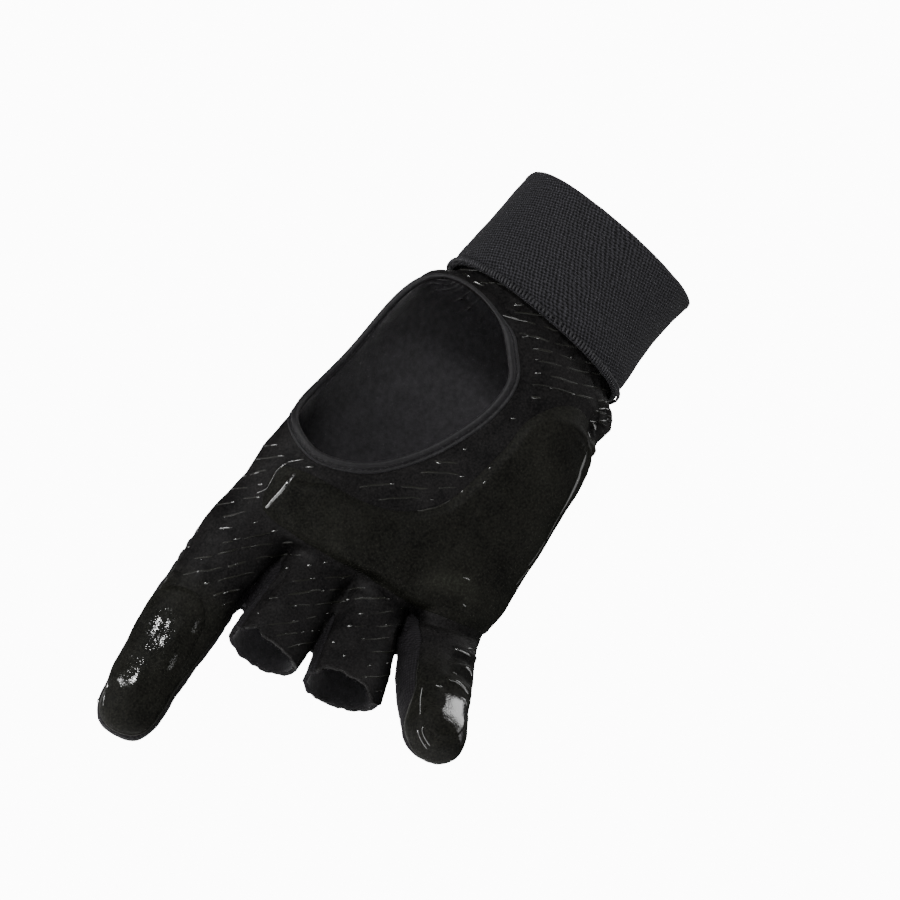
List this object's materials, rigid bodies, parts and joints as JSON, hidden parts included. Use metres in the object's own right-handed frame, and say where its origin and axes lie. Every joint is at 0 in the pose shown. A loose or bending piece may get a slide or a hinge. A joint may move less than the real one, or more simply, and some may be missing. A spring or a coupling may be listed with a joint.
{
  "type": "bowling glove",
  "caption": "Right-hand bowling glove held as worn: closed first and little fingers, open middle and ring sleeves, wide bound thumb opening, gel palm pad and elastic wrist band.",
  "frame": {"origin": "centre of the wrist band's upper rim, where the forearm enters", "axes": "+X towards the little finger, +Y from the palm to the back of the hand, +Z from the fingertips towards the elbow"},
  "size_m": [0.0965, 0.0679, 0.2134],
  "materials": {
    "grip_fabric": "black coated grip fabric with fine raised ridges, satin",
    "knit": "matt black stretch knit",
    "gel_pad": "smooth olive-black pad, half gloss",
    "binding": "black rolled and stitched binding",
    "elastic": "blue-black woven elastic"
  },
  "bodies": {
    "root": {"palm_panel": "grip_fabric", "back_panel": "knit", "palm_pad": "gel_pad", "index_pad": "gel_pad", "pinky_pad": "gel_pad", "thumb_binding": "binding", "wrist_band": "elastic", "index_front": "grip_fabric", "index_back": "knit", "middle_front": "grip_fabric", "middle_back": "knit", "ring_front": "grip_fabric", "ring_back": "knit", "pinky_front": "grip_fabric", "pinky_back": "knit"}
  },
  "joints": []
}
